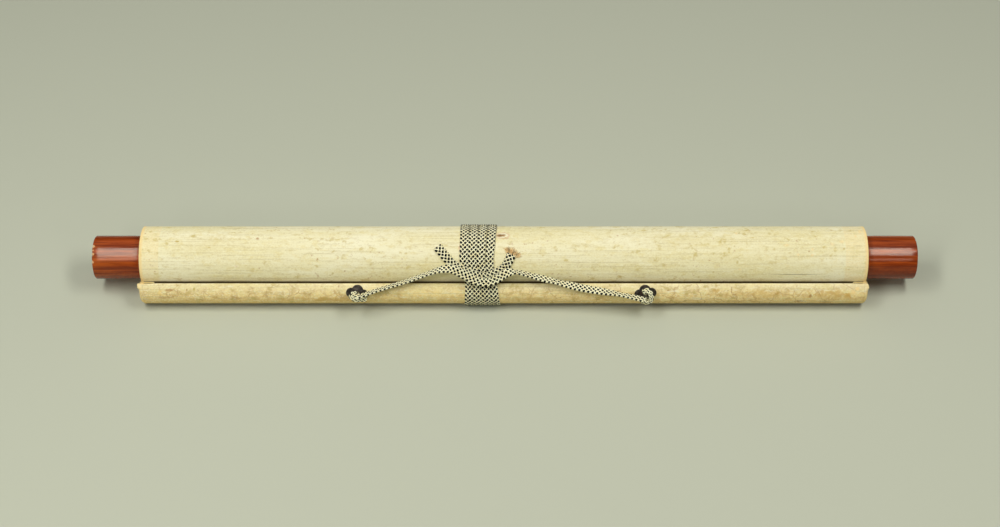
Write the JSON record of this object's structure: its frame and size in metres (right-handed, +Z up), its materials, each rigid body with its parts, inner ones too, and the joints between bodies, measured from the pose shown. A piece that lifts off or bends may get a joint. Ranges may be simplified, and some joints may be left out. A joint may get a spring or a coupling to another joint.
{
  "type": "paper scroll",
  "caption": "Hanging scroll rolled up round its roller rod, with knobs, a half-round top stave, eyelets, a hanging cord, and a flat braided cord wound round it",
  "frame": {"origin": "on the table, under the middle of the scroll's outline, the hanging cord left out", "axes": "+X runs along the scroll, -Y is the side of the top stave, +Z is up, away from the table"},
  "size_m": [0.5724, 0.0617, 0.0451],
  "materials": {
    "mounting_paper": "matt, aged",
    "rod_wood": "plain sawn",
    "knob_wood": "turned, satin lacquer",
    "cap_paper": "matt, folded",
    "plate_metal": "dark patina, satin",
    "eyelet_metal": "dark patina, satin",
    "braid": "matt, cream with black flecks"
  },
  "bodies": {
    "root": {"scroll_sheet": "mounting_paper", "roller_rod": "rod_wood", "left_knob": "knob_wood", "right_knob": "knob_wood", "top_stave": "rod_wood", "left_stave_cap": "cap_paper", "right_stave_cap": "cap_paper", "left_eyelet_plate": "plate_metal", "right_eyelet_plate": "plate_metal", "left_eyelet": "eyelet_metal", "right_eyelet": "eyelet_metal", "hanging_cord": "braid", "winding_cord": "braid"}
  },
  "joints": []
}
